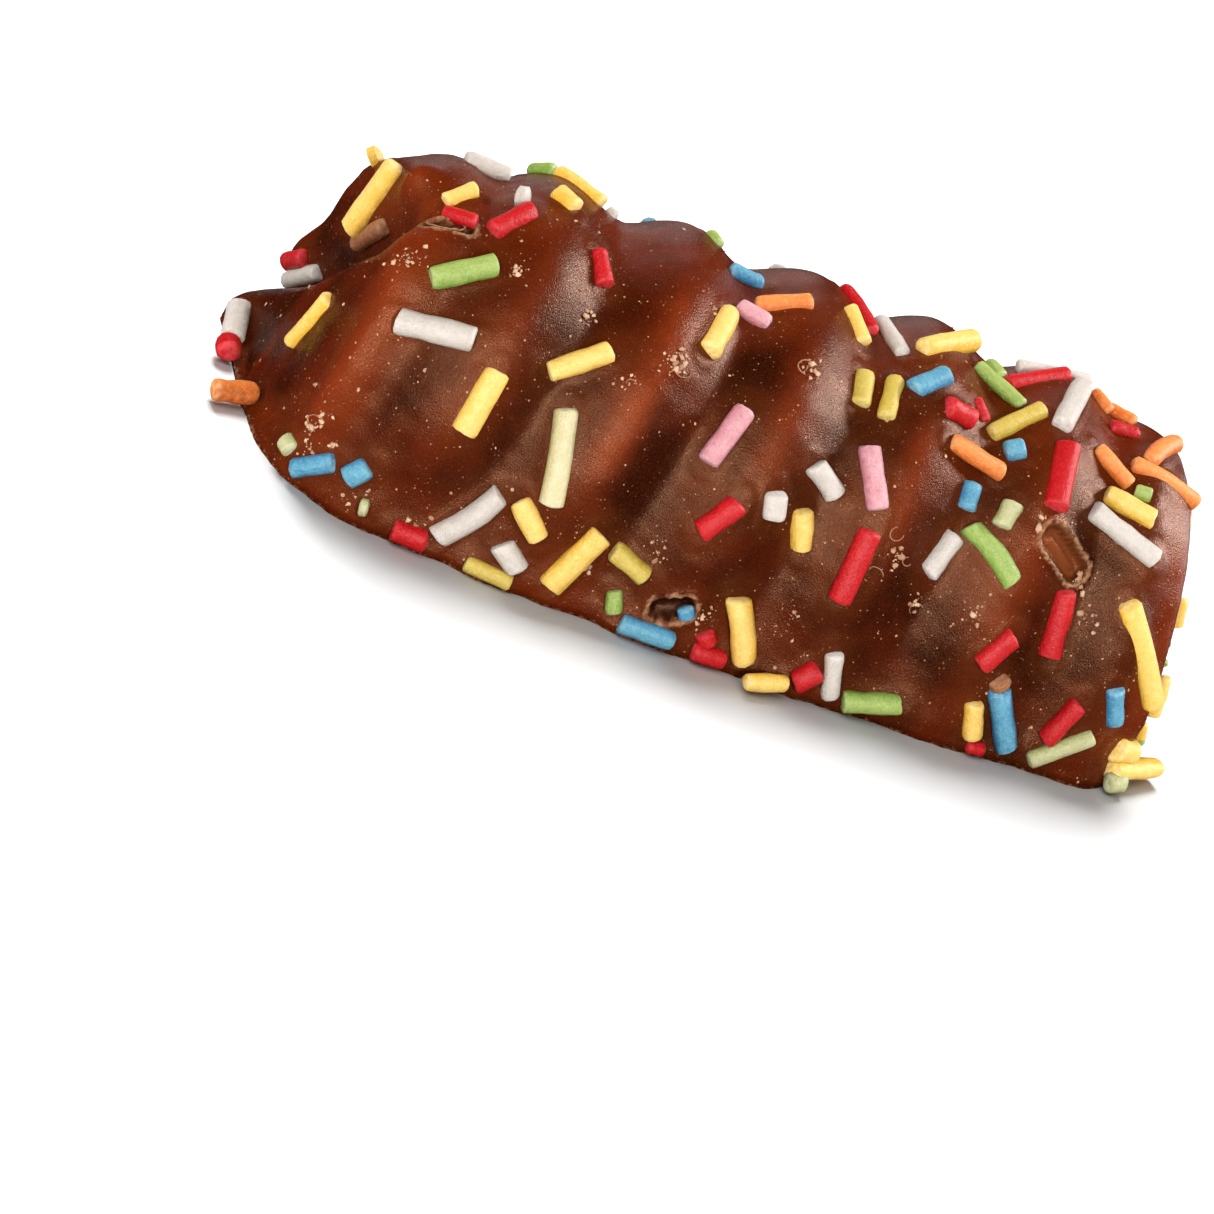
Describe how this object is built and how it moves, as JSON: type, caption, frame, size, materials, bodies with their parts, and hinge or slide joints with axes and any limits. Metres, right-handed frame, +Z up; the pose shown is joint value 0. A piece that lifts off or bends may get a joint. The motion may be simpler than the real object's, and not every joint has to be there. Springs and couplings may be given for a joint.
{
  "type": "strawberry foam candy",
  "caption": "Chocolate-coated foam candy bar with soft slanting ridges, one folded end and a scatter of coloured sugar strands.",
  "frame": {"origin": "middle of the flat underside, on the floor", "axes": "+X along the bar towards its rounded end, the folded end is towards -X; -Y towards the side seen in the picture; +Z up"},
  "size_m": [0.0641, 0.0306, 0.0195],
  "materials": {
    "chocolate": "satin milk chocolate with fine dust",
    "sugar_white": "matte sugar strand with a fine grain",
    "sugar_yellow": "matte sugar strand with a fine grain",
    "sugar_pale_yellow": "matte sugar strand with a fine grain",
    "sugar_olive": "matte sugar strand with a fine grain",
    "sugar_pale_green": "matte sugar strand with a fine grain",
    "sugar_green": "matte sugar strand with a fine grain",
    "sugar_blue": "matte sugar strand with a fine grain",
    "sugar_red": "matte sugar strand with a fine grain",
    "sugar_orange": "matte sugar strand with a fine grain",
    "sugar_pink": "matte sugar strand with a fine grain",
    "crumbs": "dry crumbs and broken flakes of coating"
  },
  "bodies": {
    "root": {"foam_bar": "chocolate"}
  },
  "joints": []
}
